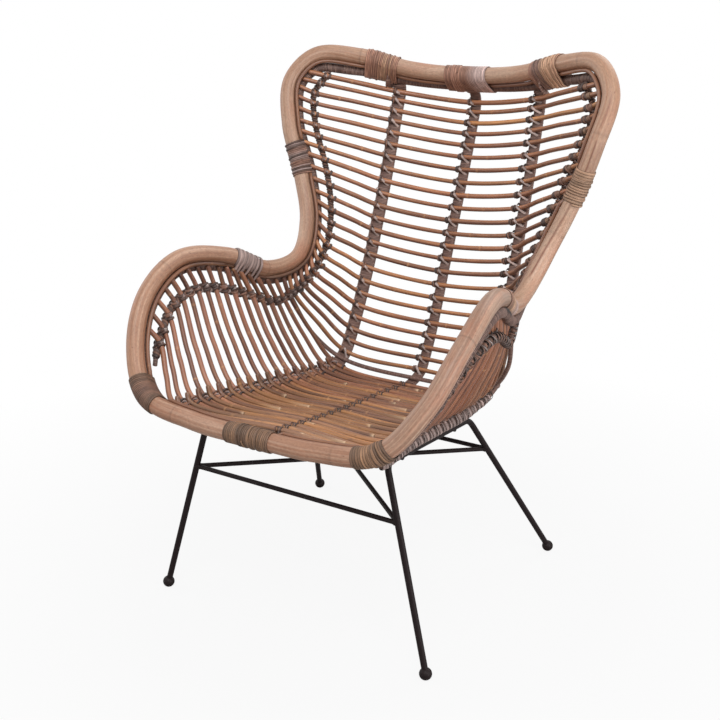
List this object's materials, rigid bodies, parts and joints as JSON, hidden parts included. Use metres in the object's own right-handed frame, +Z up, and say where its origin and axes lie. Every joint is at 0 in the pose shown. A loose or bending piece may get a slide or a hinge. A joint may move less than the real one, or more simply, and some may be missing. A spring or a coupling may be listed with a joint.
{
  "type": "rattan lounge chair",
  "caption": "Wing-back lounge chair: an open shell of round canes in a thick bent pole rim with high wings and low arms, on a crossed metal rod base with ball feet.",
  "frame": {"origin": "on the floor, under the middle of the chair's box", "axes": "+Z up, -Y the way the sitter faces, +X to the right as seen from the front"},
  "size_m": [0.7708, 0.8612, 1.0459],
  "materials": {
    "pole": "peeled rattan pole, satin lacquer",
    "wrapped_rod": "rods wrapped in fine dark cane, matt",
    "cane": "reddish brown cane, soft sheen",
    "binding": "flat cane strip, matt",
    "metal": "black satin paint"
  },
  "bodies": {
    "root": {"back_pole": "pole", "front_pole": "pole", "liner": "wrapped_rod", "centre_spine": "wrapped_rod", "right_spine": "wrapped_rod", "left_spine": "wrapped_rod", "seat_fillers": "cane", "side_hoop": "wrapped_rod", "back_cane_01": "cane", "back_cane_02": "cane", "back_cane_03": "cane", "back_cane_04": "cane", "back_cane_05": "cane", "back_cane_06": "cane", "back_cane_07": "cane", "back_cane_08": "cane", "back_cane_09": "cane", "back_cane_10": "cane", "back_cane_11": "cane", "back_cane_12": "cane", "back_cane_13": "cane", "back_cane_14": "cane", "back_cane_15": "cane", "back_cane_16": "cane", "back_cane_17": "cane", "back_cane_18": "cane", "back_cane_19": "cane", "back_cane_20": "cane", "back_cane_21": "cane", "back_cane_22": "cane", "back_cane_23": "cane", "seat_cane_01": "cane", "seat_cane_02": "cane", "seat_cane_03": "cane", "seat_cane_04": "cane", "seat_cane_05": "cane", "seat_cane_06": "cane", "seat_cane_07": "cane", "seat_cane_08": "cane", "seat_cane_09": "cane", "seat_cane_10": "cane", "seat_cane_11": "cane", "seat_cane_12": "cane", "seat_cane_13": "cane", "seat_cane_14": "cane", "seat_cane_15": "cane", "seat_cane_16": "cane", "seat_cane_17": "cane", "seat_cane_18": "cane", "binding_top_centre": "binding", "binding_front_centre": "binding", "binding_top_left": "binding", "binding_wing_left": "binding", "binding_arm_left": "binding", "binding_corner_left": "binding", "binding_top_right": "binding", "binding_wing_right": "binding", "binding_arm_right": "binding", "binding_corner_right": "binding", "base_frame": "metal"}
  },
  "joints": []
}
